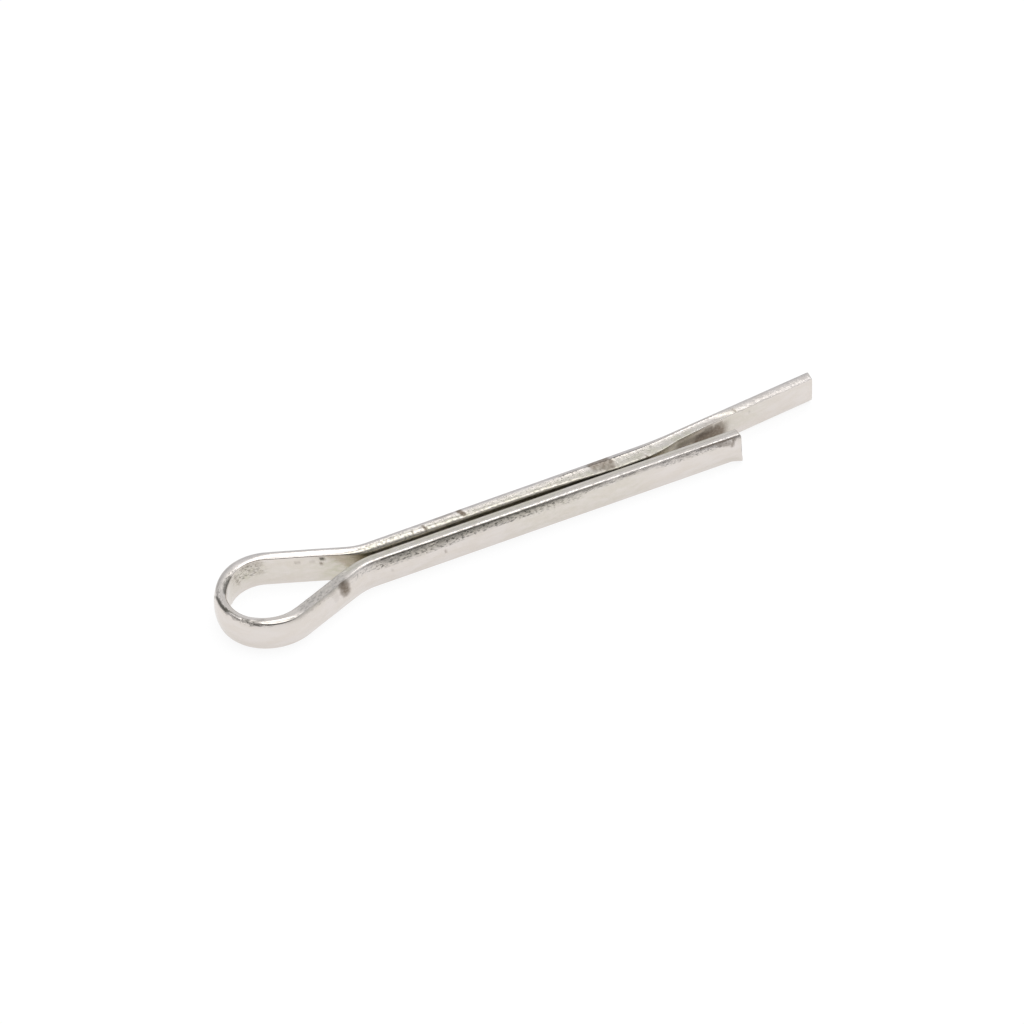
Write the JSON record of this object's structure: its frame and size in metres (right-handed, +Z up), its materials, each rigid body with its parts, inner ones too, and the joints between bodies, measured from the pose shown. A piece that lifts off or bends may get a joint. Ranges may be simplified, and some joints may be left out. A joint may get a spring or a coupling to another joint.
{
  "type": "cotter pin",
  "caption": "Cotter pin of flattened half-round wire folded double, with an open teardrop eye and one leg longer than the other, to lock a pin or nut through a cross hole.",
  "frame": {"origin": "on the shank's axis, in the plane where the eye seats on its cross hole", "axes": "+X along the shank towards the tips, +Y towards the long leg's side, +Z up, square to the flat of the eye"},
  "size_m": [0.0813, 0.0127, 0.0042],
  "materials": {
    "plated_steel": "bright zinc plate, lightly worn"
  },
  "bodies": {
    "root": {"cotter_pin": "plated_steel"}
  },
  "joints": []
}
